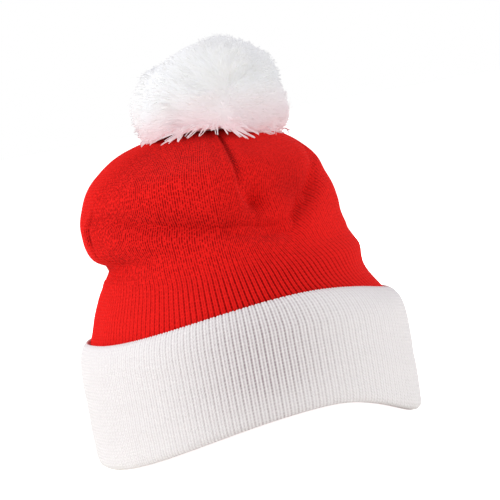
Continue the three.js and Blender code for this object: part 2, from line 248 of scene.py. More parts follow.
# Loose yarn ends that hang in front of the base, each from its root to its tip
STRAYS = (
    {"root": (2, -41, 200), "tip": (-29.6, -43, 193)},
    {"root": (1, -41, 199), "tip": (-24.6, -44, 191.5)},
    {"root": (-4.5, -41, 199), "tip": (-22.3, -44, 190.8)},
    {"root": (-8, -41, 198), "tip": (-26.5, -43, 190.4)},
    {"root": (-12, -41, 198), "tip": (-17, -44, 190.2)},
    {"root": (-2, -41, 198), "tip": (-11.5, -45, 191.6)},
    {"root": (3, -41, 198), "tip": (-3.5, -45, 191.2)},
    {"root": (7.7, -41, 199), "tip": (6.9, -45, 190.2)},
    {"root": (10, -41, 199), "tip": (13.5, -45, 189.4)},
    {"root": (8, -41, 199), "tip": (24.1, -46, 184.9)},
    {"root": (10, -41, 199), "tip": (28.9, -44, 184)},
    {"root": (12, -41, 198), "tip": (20.5, -46, 186.6)},
    {"root": (13, -41, 198), "tip": (25.5, -45, 187)},
    {"root": (18, -39, 196), "tip": (31.8, -42, 185.8)},
    {"root": (42.2, -27, 192), "tip": (41.7, -28, 184)},
)

# The knit's pattern, in ribs across and courses along. A stitch's leg climbs towards the middle of
# its rib, and plumps out and in again once in a course.
STITCH_CLIMB = 1.4
PLUMP = {"swing": 0.4, "mean": 0.6}
UNEVEN = {"across": 3.6, "along": 0.95, "detail": 2, "roughness": 0.7}
FUZZ = {"size": 1.2 * MM, "detail": 2, "roughness": 0.6}
ROUGHENED = {"fuzz": 0.5, "uneven": -0.8}
BUMP = {"strength": 0.8, "distance": 0.4 * MM}
GROOVE_FLOOR = 0.02
# The bars of yarn across an open groove, the dashes between two legs, and the slanting ticks of a seam
BARS = {"swing": 0.2, "mean": 0.4}
DASH = {"across": 7.3, "along": 1.25, "from": 0.36, "to": 0.6, "core": 0.05, "edge": 0.36}
TICK = {"climb": 0.6, "swing": 0.3, "mean": 0.45}

# The studio: a white table that glows, an even fill, and softboxes by place and size in metres
TABLE = {"size": 60, "colour": "#f1f0e8", "near": 0.2, "far": 0.5, "near_glow": 0.14, "far_glow": 0.1}
FILL = {"colour": "#f2eff5", "strength": 0.55}
WHITE = (1, 1, 1, 1)
SOFTBOXES = (
    {"name": "left_softbox", "place": (-1.1, -0.6, 0.9), "size": 1.6, "watts": 15.5},
    {"name": "right_softbox", "place": (1.5, -0.25, 0.15), "size": 0.9, "watts": 6.5},
    {"name": "front_softbox", "place": (1.2, -0.95, 0.1), "size": 0.9, "watts": 5},
    {"name": "back_softbox", "place": (0.2, 1.5, 0.3), "size": 0.9, "watts": 8},
)
LIGHT_BOUNCES = 10

# The photo's view
PHOTO_PIXELS = 500
PIXELS_PER_MM = 1.6
VIEW_CENTRE = Vector((14, 0, 115)) * MM
VIEW_ELEVATION = radians(4)
VIEW_ROLL = radians(-10.3)
VIEW_DISTANCE = 1.3
SENSOR_MM = 36


def smooth_step(low, high, x):
    t = np.clip((x - low) / (high - low), 0, 1)
    return t * t * (3 - 2 * t)


def bell(x):
    return np.exp(-x * x)


def turn_from(azimuth, degrees):
    """An azimuth's turn past one given in degrees, from -180 to 180."""
    return (np.degrees(azimuth) - degrees + 180) % 360 - 180


def azimuth_of(across):
    """The azimuth of a place across the panel: its side edges meet at the back, and the ribs are
    wider on the stretched side."""
    even = 2 * pi * (across - 0.5)
    return even + RIB_STRETCH * np.sin(even - radians(STRETCH_AZIMUTH))


def on_oval(left, right, front, back, azimuth, height):
    """Points of an oval section made of four quarter ellipses."""
    side, ahead = np.sin(azimuth), np.cos(azimuth)
    x = side * np.where(side > 0, right, left)
    y = -ahead * np.where(ahead > 0, front, back)
    return np.stack(np.broadcast_arrays(x, y, height), axis=-1)


def wobble(across, along, reach):
    """A gentle unevenness of slack knitting, from -1 to 1: four waves that never fall in step, each
    by how many there are across and along, and by its start."""
    a, b = 2 * pi * across, 2 * pi * along
    waves = ((reach, 2, 0.7), (reach + 2, -5, 2.9), (3, reach, 4.1), (2 * reach + 1, 11, 5.3))
    return sum(np.sin(m * a + n * b + start) for m, n, start in waves) / len(waves)


# Knit panels

def knit_panel(name, rows):
    """A flat panel of knit, one grid with RIB_COLUMNS columns to a rib, and each vertex's place on
    it, from 0 to 1 across and as a row number."""
    bpy.ops.object.select_all(action="DESELECT")
    bpy.ops.mesh.primitive_grid_add(x_subdivisions=RIBS * RIB_COLUMNS, y_subdivisions=rows, size=1)
    panel = bpy.context.object
    panel.name = panel.data.name = name
    flat = np.empty(3 * len(panel.data.vertices))
    panel.data.vertices.foreach_get("co", flat)
    flat = flat.reshape(-1, 3) + 0.5
    return panel, flat[:, 0], np.rint(flat[:, 1] * rows).astype(int)


def count_stitches(panel, ribs, courses):
    """Sets the panel's UV map to count stitches: ribs across it and courses along it."""
    corner = np.empty(len(panel.data.loops), dtype=np.int32)
    panel.data.loops.foreach_get("vertex_index", corner)
    stitches = np.stack((ribs[corner], courses[corner]), axis=-1)
    panel.data.uv_layers[0].data.foreach_set("uv", stitches.ravel())


def mark(panel, name, values):
    """Keeps a number at each vertex for the panel's material to read."""
    panel.data.attributes.new(name, "FLOAT", "POINT").data.foreach_set("value", values)


def sew(panel, points):
    """Rolls the panel up into its worn form and sews together the edges that meet."""
    panel.data.vertices.foreach_set("co", (points * MM).ravel())
    bpy.ops.object.mode_set(mode="EDIT")
    bpy.ops.mesh.select_all(action="SELECT")
    bpy.ops.mesh.remove_doubles(threshold=TINY)
    bpy.ops.mesh.normals_make_consistent(inside=False)
    bpy.ops.object.mode_set(mode="OBJECT")
    bpy.ops.object.shade_smooth()


def knit_relief(ribs, rib, leg):
    """How far the knit stands out: a groove at whole numbers of ribs, then a wale of two legs."""
    return -rib * np.cos(2 * pi * ribs) - leg * np.cos(4 * pi * ribs)


def pulled_open(azimuth, pulled):
    """How far the ribs are pulled open round the head, from the least of it up to 1."""
    turn = turn_from(azimuth, pulled["azimuth"])
    ends = bell(turn / pulled["spread"]) + bell((np.abs(turn) - 180) / pulled["spread"])
    return pulled["least"] + (1 - pulled["least"]) * ends


# Crown

def along_crown(column, row):
    """A smooth value through a column of the crown's table, at rows that need not be whole."""
    table = np.array([section[column] for section in CROWN_SECTIONS])
    start = np.clip(np.floor(row).astype(int), 0, CROWN_TOP - 1)
    before, low = table[np.maximum(start - 1, 0)], table[start]
    high, after = table[start + 1], table[np.minimum(start + 2, CROWN_TOP)]
    t = row - start
    leaving, arriving = (high - before) / 2, (after - low) / 2
    square = 3 * (high - low) - 2 * leaving - arriving
    cube = leaving + arriving - 2 * (high - low)
    return low + t * (leaving + t * (square + t * cube))


def crown_surface(azimuth, row):
    return on_oval(*[along_crown(side, row) for side in SIDES], azimuth, along_crown("height", row))


def crown_normal(azimuth, row):
    step = 0.02
    low, high = np.maximum(row - step, 0), np.minimum(row + step, CROWN_TOP)
    around = crown_surface(azimuth + step, row) - crown_surface(azimuth - step, row)
    up = crown_surface(azimuth, high) - crown_surface(azimuth, low)
    normal = np.cross(around, up)
    return normal / np.linalg.norm(normal, axis=-1, keepdims=True)


def fold_depth(fold, degrees, height):
    """How far a fold takes the knit in, softly below its line and closely above, where it hangs over."""
    first, middle, last = fold["heights"]
    half = np.where(degrees < fold["via"], fold["via"] - fold["from"], fold["to"] - fold["via"])
    share = np.clip((degrees - fold["via"]) / half, -1, 1)
    climb = np.sqrt(share**2 + FOLD_BEND**2) - FOLD_BEND
    line = middle + (np.where(share < 0, first, last) - middle) * climb
    rise = height - line
    hanging = np.exp(FOLD_ROUND - np.hypot(rise / fold["above"], FOLD_ROUND))
    taken_in = np.where(rise < 0, bell(rise / fold["below"]), hanging)
    return fold["depth"] * np.cos(pi / 2 * share) ** fold["fade"] * taken_in


def seam_turns(azimuth, height):
    """The turn past each seam, and how far the seams are sewn at this height."""
    sewn = smooth_step(SEAMS["foot"], SEAMS["full"], height)
    first = SEAMS["azimuth"] + SEAMS["lean"] * (1 - sewn)
    apart = 360 / SEAMS["count"]
    turns = [turn_from(azimuth, first + seam * apart) for seam in range(SEAMS["count"])]
    return turns, sewn


def spot(azimuth, height, place):
    """How far into a soft round spot of the crown a place lies, from 0 outside to 1 at its middle."""
    aside = turn_from(azimuth, place["azimuth"]) / place["half_angle"]
    above = (height - place["height"]) / place["half_height"]
    return bell(np.hypot(aside, above))


def crown_depth(azimuth, height):
    """How far the folds, dents and seams take the knit in."""
    degrees = turn_from(azimuth, 0)
    depth = sum(fold_depth(fold, degrees, height) for fold in CROWN_FOLDS)
    for dent in CROWN_DENTS:
        depth = depth + dent["depth"] * spot(azimuth, height, dent)
    turns, sewn = seam_turns(azimuth, height)
    for turn in turns:
        spread = np.where(turn > 0, SEAM_DROP["right"], SEAM_DROP["left"])
        ridge = SEAM_RIDGE["rise"] * bell((turn - SEAM_RIDGE["turn"]) / SEAM_RIDGE["spread"])
        depth = depth + sewn * (SEAM_DROP["depth"] * bell(turn / spread) - ridge)
    return depth


def slack(azimuth, height):
    """How slack the knit is, from 0 to 1."""
    side = 1 - (1 - SLACK["least"]) * bell(turn_from(azimuth, SLACK["azimuth"]) / SLACK["spread"])
    climb = smooth_step(SLACK["foot"], SLACK["head"], height)
    return side * (SLACK["low"] + (1 - SLACK["low"]) * climb)


def painted_shade(azimuth, height):
    """Painted shade: how much darker the knit is drawn in the creases of the folds and in the shade
    spots, as a share of its groove colour.
    """
    degrees = turn_from(azimuth, 0)
    share = 0
    for fold in CROWN_FOLDS:
        share = share + fold["crease_shade"] * fold_depth(fold, degrees, height) / fold["depth"]
    for place in PAINTED_SHADE_SPOTS:
        share = share + place["share"] * spot(azimuth, height, place)
    return share


def crown_ribs_open(azimuth, height):
    low = 1 - smooth_step(CROWN_PULLED["open_below"], CROWN_PULLED["closed_above"], height)
    closed = CROWN_PULLED["closed"]
    return closed + (1 - closed) * low * pulled_open(azimuth, CROWN_PULLED)


def leaned(azimuth, height):
    """Azimuths of the ribs at a height, after their lean to the left on the right side."""
    climb = smooth_step(RIB_LEAN["foot"], RIB_LEAN["head"], height)
    side = bell(turn_from(azimuth, RIB_LEAN["azimuth"]) / RIB_LEAN["spread"])
    return azimuth - np.radians(RIB_LEAN["turn"]) * climb * side


def length_along(line):
    """The length from the start of a line of points up to each of them."""
    return np.append(0, np.cumsum(np.linalg.norm(np.diff(line, axis=0), axis=1)))


def rows_up_the_crown(count):
    """Rows of the crown's table at even steps up its left side, where it is folded most."""
    fine = np.linspace(0, CROWN_TOP, FINE_STEPS)
    side = np.full_like(fine, radians(CROWN_FOLDS[0]["via"]))
    line = crown_surface(side, fine)
    line -= crown_normal(side, fine) * crown_depth(side, line[:, 2])[:, None]
    length = length_along(line)
    return np.interp(np.linspace(0, length[-1], count), length, fine)


def courses_up_the_crown(row):
    """The courses of stitches from the crown's foot up to a row of its table, counted in front."""
    fine = np.linspace(0, CROWN_TOP, FINE_STEPS)
    length = length_along(crown_surface(np.zeros_like(fine), fine))
    return np.interp(row, fine, length) / COURSE


def make_crown():
    """One panel of knit, from the apex down the inside to the foot and up the outside again."""
    down, up = rows_up_the_crown(LINING_ROWS)[::-1], rows_up_the_crown(CROWN_ROWS)
    table_rows = np.concatenate((down, up))
    panel, across, line = knit_panel("crown_knit", len(table_rows) - 1)
    row, lining = table_rows[line], line < LINING_ROWS
    azimuth = leaned(azimuth_of(across), along_crown("height", row))
    points = crown_surface(azimuth, row)
    height = points[:, 2]
    radius = np.hypot(points[:, 0], points[:, 1])
    shown = smooth_step(*CROWN_RELIEF["heights"], height) * smooth_step(*CROWN_RELIEF["radii"], radius)
    opened = crown_ribs_open(azimuth, height)
    relief = shown * knit_relief(across * RIBS, CROWN_RIB * opened, CROWN_LEG)
    relief += CROWN_WAVES["height"] * shown * wobble(across, line / CROWN_ROWS, CROWN_WAVES["count"])
    relief = np.where(lining, -KNIT - CROWN_RELIEF["lining"] * relief, relief)
    points += crown_normal(azimuth, row) * (relief - shown * crown_depth(azimuth, height))[:, None]
    points[(line == LINING_ROWS - 1) | (line == LINING_ROWS), 2] = CROWN_SECTIONS[0]["height"]
    points[line == 0] = (APEX_X, 0, CROWN_SECTIONS[-1]["height"] - KNIT)
    points[line == len(table_rows) - 1] = (APEX_X, 0, CROWN_SECTIONS[-1]["height"])
    count_stitches(panel, across * RIBS, courses_up_the_crown(row))
    mark(panel, "open", opened * shown)
    mark(panel, "slack", slack(azimuth, height))
    mark(panel, "painted_shade", painted_shade(azimuth, height))
    turns, _ = seam_turns(azimuth, height)
    # Where the material draws painted shade in dark ticks along the seams
    ticks = sum(bell((turn - SEAM_TICKS["turn"]) / SEAM_TICKS["spread"]) for turn in turns)
    climb = smooth_step(SEAM_TICKS["foot"], SEAM_TICKS["full"], height)
    mark(panel, "seam", climb * ticks * ~lining)
    sew(panel, points)
    return panel


# Cuff

def arch_rise(azimuth, height):
    """How far the lift of the rim raises a place at a height above the cuff's foot."""
    foot, top = ARCH["foot"], ARCH["top"]
    rise, left, right = [foot[key] + (top[key] - foot[key]) * height / CUFF_HEIGHT
                         for key in ("rise", "left", "right")]
    turn = turn_from(azimuth, ARCH["azimuth"])
    share = np.minimum(np.abs(turn) / np.where(turn < 0, left, right), 1)
    return rise * (1 + np.cos(pi * share)) / 2


def crown_section_at(height):
    """The crown's outside at a height, on its four sides."""
    heights = [section["height"] for section in CROWN_SECTIONS]
    outside = [[section[side] for section in CROWN_SECTIONS] for side in SIDES]
    return [np.interp(height, heights, side) for side in outside]


def spread_rows(profile, column):
    """A column of a closed profile table, spread over the rows of the mesh between its points."""
    values = [point[column] for point in profile] + [profile[0][column]]
    steps = [np.linspace(a, b, point["rows"], endpoint=False)
             for a, b, point in zip(values, values[1:], profile)]
    return np.append(np.concatenate(steps), values[-1])


def make_cuff():
    """One panel of knit folded at the foot: up the outside, over the top and down the inside."""
    outer = [dict(point, join=0) for point in CUFF_PROFILE]
    inner = [dict(point, hug=0) for point in INNER_PROFILE]
    columns = ("inset", "height", "hug", "rib", "join")
    table = [spread_rows(outer + inner, column) for column in columns]
    panel, across, line = knit_panel("cuff_knit", len(table[0]) - 1)
    azimuth = azimuth_of(across)
    inset, height, hug, rib, join = (column[line] for column in table)
    climb = smooth_step(CUFF_OPEN["from"], CUFF_OPEN["to"], height)
    low = CUFF_OPEN["foot"] + (1 - CUFF_OPEN["foot"]) * climb
    high = 1 - (1 - CUFF_OPEN["top"]) * smooth_step(CUFF_OPEN["above"], CUFF_HEIGHT, height)
    opened = pulled_open(azimuth, CUFF_PULLED) * low * high
    rib_height = CUFF_RIB_CLOSED + (1 - CUFF_RIB_CLOSED) * opened
    wave = knit_relief(across * RIBS, rib_height, CUFF_LEG / CUFF_RIB)
    scallop = SCALLOP["height"] * wave * smooth_step(SCALLOP["above"], CUFF_HEIGHT, height)
    height = (height + arch_rise(azimuth, height)) * (1 - join) + JOIN_HEIGHT * join + scallop
    waves = CUFF_WAVES["height"] * rib * wobble(across, line / line.max(), CUFF_WAVES["count"])
    out = rib * CUFF_RIB * wave - inset + waves
    upright = on_oval(*[side + out for side in CUFF_OUTLINE.values()], azimuth, height)
    off_crown = KNIT + CUFF_STAND + out
    lying = on_oval(*[side + off_crown for side in crown_section_at(height)], azimuth, height)
    points = upright + (lying - upright) * hug[:, None]
    points[:, 2] = np.maximum(points[:, 2], 0)
    climbed = length_along(np.stack(table[:2], axis=-1))
    count_stitches(panel, across * RIBS, climbed[line] / COURSE)
    mark(panel, "open", opened)
    mark(panel, "slack", slack(azimuth, SLACK["head"]))
    mark(panel, "painted_shade", np.zeros_like(opened))
    mark(panel, "seam", np.zeros_like(opened))
    sew(panel, points)
    return panel


# Pompom

def unit(vectors):
    return vectors / np.maximum(np.linalg.norm(vectors, axis=-1, keepdims=True), TINY)


def directions(azimuth, elevation):
    flat = np.cos(elevation)
    return np.stack((flat * np.sin(azimuth), -flat * np.cos(azimuth), np.sin(elevation)), axis=-1)


def pompom_reach(direction):
    """How far the pompom stands out from its middle in a direction."""
    reach = 1 / np.linalg.norm(direction / POMPOM_HALF, axis=-1)
    for tuft in POMPOM_TUFTS:
        axis = directions(radians(tuft["azimuth"]), radians(tuft["elevation"]))
        away = np.degrees(np.arccos(np.clip(direction @ axis, -1, 1)))
        reach = reach + tuft["rise"] * bell(away / tuft["spread"])
    return reach


def pompom_base(x):
    """The height that the pompom's lowest yarn ends keep to, at a place from left to right."""
    places = [point["x"] for point in POMPOM_BASE]
    return np.interp(x, places, [point["height"] for point in POMPOM_BASE])


def painted_red_glow(points):
    """How much painted red glow tints the yarn in place of the crown's red light, from 0 well above the
    base to 1 at it.
    """
    above = points[:, 2] - pompom_base(points[:, 0])
    reach = np.interp(points[:, 0], PAINTED_RED_GLOW["x"], PAINTED_RED_GLOW["height"])
    return np.clip(1 - above / reach, 0, 1) ** PAINTED_RED_GLOW["fade"]


def crown_height_under(x, y):
    """The height of the crown's top at a place in plan."""
    top = CROWN_SECTIONS[TURN_OF_THE_TOP:]
    height = np.full(np.shape(x), float(CROWN_SECTIONS[-1]["height"]))

    def share(section):
        across = np.where(x > 0, section["right"], section["left"])
        deep = np.where(y < 0, section["front"], section["back"])
        return np.hypot(x / across, y / deep)

    for low, high in zip(top, top[1:]):
        inner, outer = share(low), share(high)
        here = (inner <= 1) & (outer > 1)
        t = np.clip((1 - inner) / np.maximum(outer - inner, TINY), 0, 1)
        height = np.where(here, low["height"] + t * (high["height"] - low["height"]), height)
    return np.where(share(top[0]) > 1, top[0]["height"], height)


def strands_mesh(name, stations, radii):
    """One mesh of many thin strands, from each strand's stations and its radius at each.

    Each strand is a low ridge with its edge outwards, held up off the crown, and a number at each
    vertex runs from 0 at its root to 1 at its tip. Thin yarn lets the light through, so the strands
    throw no shadows.
    """
    floor = crown_height_under(stations[..., 0], stations[..., 1]) + FIBRE_RADIUS
    stations[..., 2] = np.maximum(stations[..., 2], floor)
    count, rings, _ = stations.shape
    ahead = unit(np.gradient(stations, axis=1))
    outwards = stations[:, rings // 2] - POMPOM_CENTRE
    across = unit(np.cross(stations[:, -1] - stations[:, 0], outwards))[:, None]
    third = unit(np.cross(ahead, across))
    angle = 2 * pi * np.arange(STRAND_SIDES) / STRAND_SIDES - pi / 2
    wide, high = np.cos(angle)[:, None], STRAND_FLATNESS * np.sin(angle)[:, None]
    ring = across[:, :, None] * wide + third[:, :, None] * high
    vertices = stations[:, :, None] + ring * radii[:, :, None, None]
    index = np.arange(count * rings * STRAND_SIDES).reshape(count, rings, STRAND_SIDES)
    turned = np.roll(index, -1, axis=2)
    walls = np.stack((index[:, :-1], turned[:, :-1], turned[:, 1:], index[:, 1:]), axis=-1)
    walls = walls.reshape(-1, 4)
    ends = np.concatenate((index[:, 0, ::-1], index[:, -1]))
    mesh = bpy.data.meshes.new(name)
    mesh.from_pydata((vertices.reshape(-1, 3) * MM).tolist(), [], walls.tolist() + ends.tolist())
    piece = bpy.data.objects.new(name, mesh)
    bpy.context.collection.objects.link(piece)
    piece.visible_shadow = False
    # The tip share also sets the yarn's painted shade, darker and creamier at the roots
    mark(piece, "tip", np.tile(np.repeat(np.linspace(0, 1, rings), STRAND_SIDES), count))
    mark(piece, "painted_red_glow", painted_red_glow(vertices.reshape(-1, 3)))
    return piece


def combed(direction):
    """How each yarn end is swept aside along the surface, away from the parting on its own side."""
    place = POMPOM_CENTRE + direction * pompom_reach(direction)[:, None]
    line = np.clip(place[:, 2], PARTING["foot"], PARTING["top"])
    ends = (PARTING["foot"], PARTING["top"])
    line_x = np.interp(line, ends, (PARTING["foot_x"], PARTING["top_x"]))
    away = np.stack((place[:, 0] - line_x, np.zeros(len(place)), place[:, 2] - line), axis=-1)
    far = np.linalg.norm(away, axis=-1)
    along = unit(away - direction * np.sum(away * direction, axis=-1, keepdims=True))
    eased = 1 - COMBED["rim_ease"] * smooth_step(COMBED["ease_from"], 1, far / COMBED["far"])
    lean = COMBED["lean"] * far / (far + COMBED["near"]) * eased
    return along * np.tan(np.radians(lean))[:, None]


def tufted(direction):
    """How much longer the yarn is in a direction, as a share of its reach, and its sway aside."""
    draw = np.random.default_rng(TUFTS["seed"])
    middles = unit(draw.normal(0, 1, (TUFTS["count"], 3)))
    rises = TUFTS["rise"] * draw.uniform(*TUFTS["range"], TUFTS["count"])
    sways = TUFTS["sway"] * draw.normal(0, 1, (TUFTS["count"], 3))
    weights = np.exp(TUFTS["narrow"] * (direction @ middles.T - 1))
    weights /= weights.sum(axis=1, keepdims=True)
    return weights @ rises, weights @ sways


def make_lobe(lobe):
    """One lobe of the pompom: cut yarn ends combed aside, each frayed into fibres."""
    draw = np.random.default_rng(lobe["seed"])
    azimuth = np.radians(draw.uniform(lobe["from"], lobe["to"], LOBE_YARNS))
    lift = draw.uniform(np.sin(LOWEST_YARN), 1, LOBE_YARNS)
    direction = directions(azimuth, np.arcsin(lift))
    _, sway = tufted(direction)
    sweep = combed(direction) + sway + draw.normal(0, YARN_SCATTER["sweep"], (LOBE_YARNS, 3))
    length = 1 - YARN_SCATTER["length"] * draw.random(LOBE_YARNS) ** 2
    count = LOBE_YARNS * YARN_FIBRES
    direction = np.repeat(direction, YARN_FIBRES, axis=0)
    sweep = np.repeat(sweep, YARN_FIBRES, axis=0) + draw.normal(0, FIBRE_SCATTER["sweep"], (count, 3))
    length = np.repeat(length, YARN_FIBRES) * (1 - FIBRE_SCATTER["length"] * draw.random(count))
    flyaway = draw.random(count) < FLYAWAYS["share"]
    sweep[flyaway] *= FLYAWAYS["sweep"]
    length[flyaway] += FLYAWAYS["length"] * draw.random(flyaway.sum())
    heading = unit(direction[:, None] + sweep[:, None] * (STRAND_SHARES**SWEEP_GROWTH)[:, None])
    rise = tufted(heading.reshape(-1, 3))[0].reshape(count, -1)
    out = ROOT_SHARE + (length[:, None] - ROOT_SHARE) * STRAND_SHARES**RISE_GROWTH + rise
    stations = POMPOM_CENTRE + heading * (out * pompom_reach(heading))[..., None]
    stations += draw.normal(0, FIBRE_SCATTER["place"], (count, 1, 3))
    stations += draw.normal(0, FIBRE_SCATTER["tip"], (count, 1, 3)) * (STRAND_SHARES**2)[:, None]
    x, y, z = np.moveaxis(stations, -1, 0)
    kept = z > np.maximum(pompom_base(x), crown_height_under(x, y))
    stations = stations[kept.all(axis=1)]
    thick = FIBRE_RADIUS * draw.uniform(*FIBRE_SCATTER["thickness"], len(stations))
    return strands_mesh(lobe["name"], stations, thick[:, None] * STRAND_TAPER)


def make_strays():
    """The loose yarn ends: a short fringe along the base in front, and some that hang further."""
    draw = np.random.default_rng(FRINGE["seed"])
    count = FRINGE["count"]
    x = draw.uniform(FRINGE["left"], FRINGE["right"], count)
    z = pompom_base(x) + draw.uniform(FRINGE["low"], FRINGE["high"], count)
    middle, half = POMPOM_CENTRE, POMPOM_HALF
    inside = 1 - ((x - middle[0]) / half[0]) ** 2 - ((z - middle[2]) / half[2]) ** 2
    root = np.stack((x, -half[1] * np.sqrt(np.maximum(inside, 0)), z), axis=-1)
    aside = FRINGE["sweep"] * (np.sign(x - PARTING["foot_x"]) * draw.random(count))
    out = FRINGE["out"] * draw.random(count)
    drop = FRINGE["drop"] * draw.uniform(FRINGE["least_drop"], 1, count)
    down = np.stack((aside, -out, -drop), axis=-1)
    tip = np.concatenate((root + down, [stray["tip"] for stray in STRAYS]))
    root = np.concatenate((root, [stray["root"] for stray in STRAYS]))
    root = np.repeat(root, YARN_FIBRES, axis=0)
    tip = np.repeat(tip, YARN_FIBRES, axis=0)
    root = root + draw.normal(0, STRAY_SCATTER["ends"], root.shape)
    tip = tip + draw.normal(0, STRAY_SCATTER["ends"], tip.shape)
    share = np.linspace(0, 1, len(STRAY_TAPER))
    stations = root[:, None] + (tip - root)[:, None] * share[:, None]
    stations += draw.normal(0, STRAY_SCATTER["bow"], (len(root), 1, 3)) * np.sin(pi * share)[:, None]
    radii = FIBRE_RADIUS * np.tile(STRAY_TAPER, (len(root), 1))
    return strands_mesh("pompom_stray_ends", stations, radii)


def make_heart():
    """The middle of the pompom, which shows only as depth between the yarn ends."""
    bpy.ops.object.select_all(action="DESELECT")
    bpy.ops.mesh.primitive_ico_sphere_add(subdivisions=HEART_DETAIL, radius=1)
    heart = bpy.context.object
    heart.name = heart.data.name = "pompom_heart"
    ball = np.empty(3 * len(heart.data.vertices))
    heart.data.vertices.foreach_get("co", ball)
    ball = unit(ball.reshape(-1, 3))
    points = POMPOM_CENTRE + ball * ((HEART_SHARE + tufted(ball)[0]) * pompom_reach(ball))[:, None]
    crown_top = crown_height_under(points[:, 0], points[:, 1]) + HEART_FOOT["gap"]
    away = np.hypot(points[:, 0] - POMPOM_CENTRE[0], points[:, 1])
    raised = np.maximum(pompom_base(points[:, 0]) + HEART_FOOT["lift"] - crown_top, 0)
    clear = smooth_step(HEART_FOOT["rests"], HEART_FOOT["clear"], away)
    points[:, 2] = np.maximum(points[:, 2], crown_top + raised * clear)
    heart.data.vertices.foreach_set("co", (points * MM).ravel())
    bpy.ops.object.shade_smooth()
    mark(heart, "tip", np.full(len(points), HEART_TIP))
    mark(heart, "painted_red_glow", painted_red_glow(points))
    return heart


# Materials

def linear(colour):
    """A hex sRGB colour as linear RGBA."""
    channels = [int(colour[i:i + 2], 16) / 255 for i in (1, 3, 5)]
    return (*[c / 12.92 if c <= 0.04045 else ((c + 0.055) / 1.055) ** 2.4 for c in channels], 1)


def add_node(material, kind, settings=(), links=()):
    """Adds a node with its settings and the links into it, each from a socket or a node's first one."""
    node = material.node_tree.nodes.new(kind)
    for key, value in dict(settings).items():
        if key in node.inputs.keys() or isinstance(key, int):
            node.inputs[key].default_value = value
        else:
            setattr(node, key, value)
    for socket, source in dict(links).items():
        material.node_tree.links.new(getattr(source, "outputs", [source])[0], node.inputs[socket])
    return node


def new_material(name):
    material = bpy.data.materials.new(name)
    material.use_nodes = True
    material.node_tree.nodes.clear()
    return material


